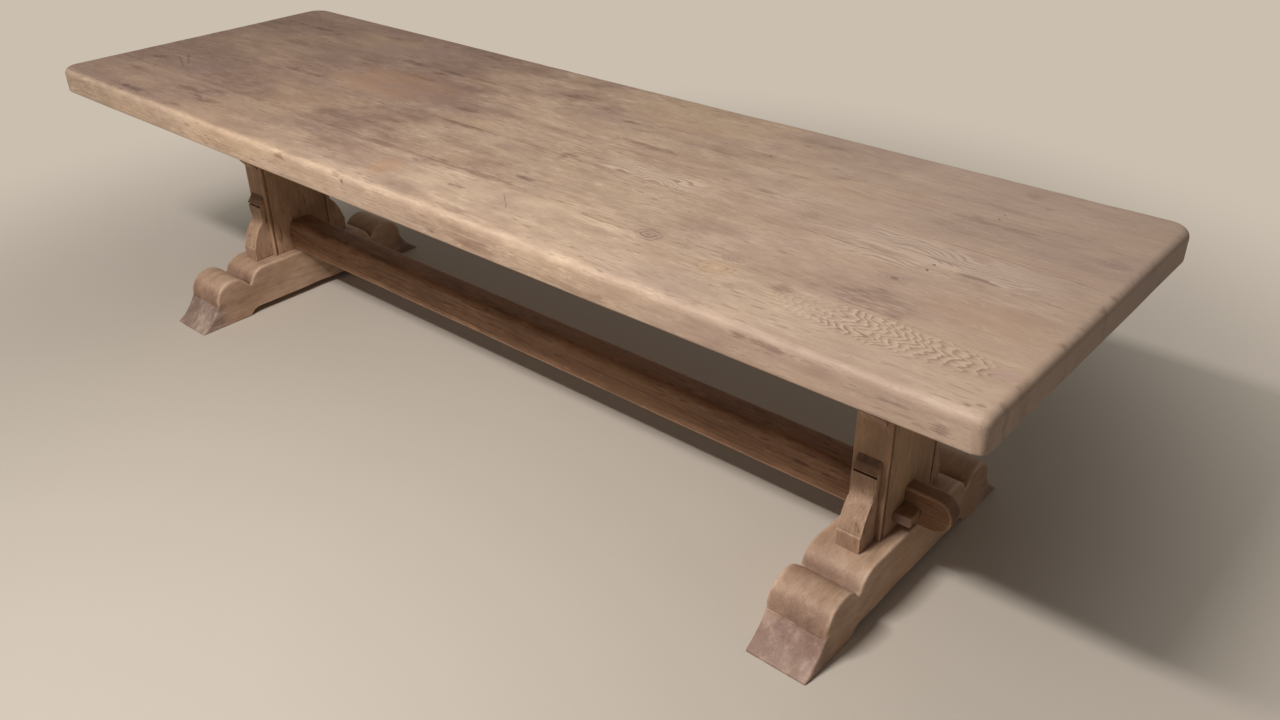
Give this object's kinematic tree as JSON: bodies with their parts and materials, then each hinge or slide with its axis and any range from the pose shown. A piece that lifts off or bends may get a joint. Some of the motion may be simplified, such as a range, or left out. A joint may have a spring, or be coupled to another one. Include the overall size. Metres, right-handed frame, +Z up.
{
  "type": "trestle dining table",
  "caption": "Long dining table with a thick plank top on shaped slab trestles, tied by a low rail whose round-ended tongues pass through the posts and are locked by wooden keys.",
  "frame": {"origin": "on the floor, under the middle of the top", "axes": "+X along the length of the table, +Y from the front long side to the back, +Z up"},
  "size_m": [2.894, 0.912, 0.76],
  "materials": {
    "top_wood": "dry scrubbed wood, sanded and worn pale",
    "frame_wood": "dry worn wood, matt",
    "rail_wood": "dry worn wood, matt, a little darker",
    "key_wood": "dry worn wood, matt",
    "inner_wood": "raw wood, hidden",
    "iron": "dark old iron"
  },
  "bodies": {
    "table": {"front_board": "top_wood", "front_inner_board": "top_wood", "middle_board": "top_wood", "rear_inner_board": "top_wood", "rear_board": "top_wood", "spline_1": "inner_wood", "spline_2": "inner_wood", "spline_3": "inner_wood", "spline_4": "inner_wood", "left_nails": "iron", "left_bearer": "frame_wood", "left_foot": "frame_wood", "left_post": "frame_wood", "left_lower_front_bracket": "frame_wood", "left_lower_rear_bracket": "frame_wood", "left_upper_front_bracket": "frame_wood", "left_upper_rear_bracket": "frame_wood", "left_dowels": "inner_wood", "right_nails": "iron", "right_bearer": "frame_wood", "right_foot": "frame_wood", "right_post": "frame_wood", "right_lower_front_bracket": "frame_wood", "right_lower_rear_bracket": "frame_wood", "right_upper_front_bracket": "frame_wood", "right_upper_rear_bracket": "frame_wood", "right_dowels": "inner_wood", "rail": "rail_wood"},
    "left_wedge": {"left_key": "key_wood"},
    "right_wedge": {"right_key": "key_wood"}
  },
  "joints": [
    {"name": "left_key_slide", "type": "slide", "parent": "table", "child": "left_wedge", "axis": [0, -1, 0], "range_m": [0, 0.09]},
    {"name": "right_key_slide", "type": "slide", "parent": "table", "child": "right_wedge", "axis": [0, -1, 0], "range_m": [0, 0.09]}
  ]
}
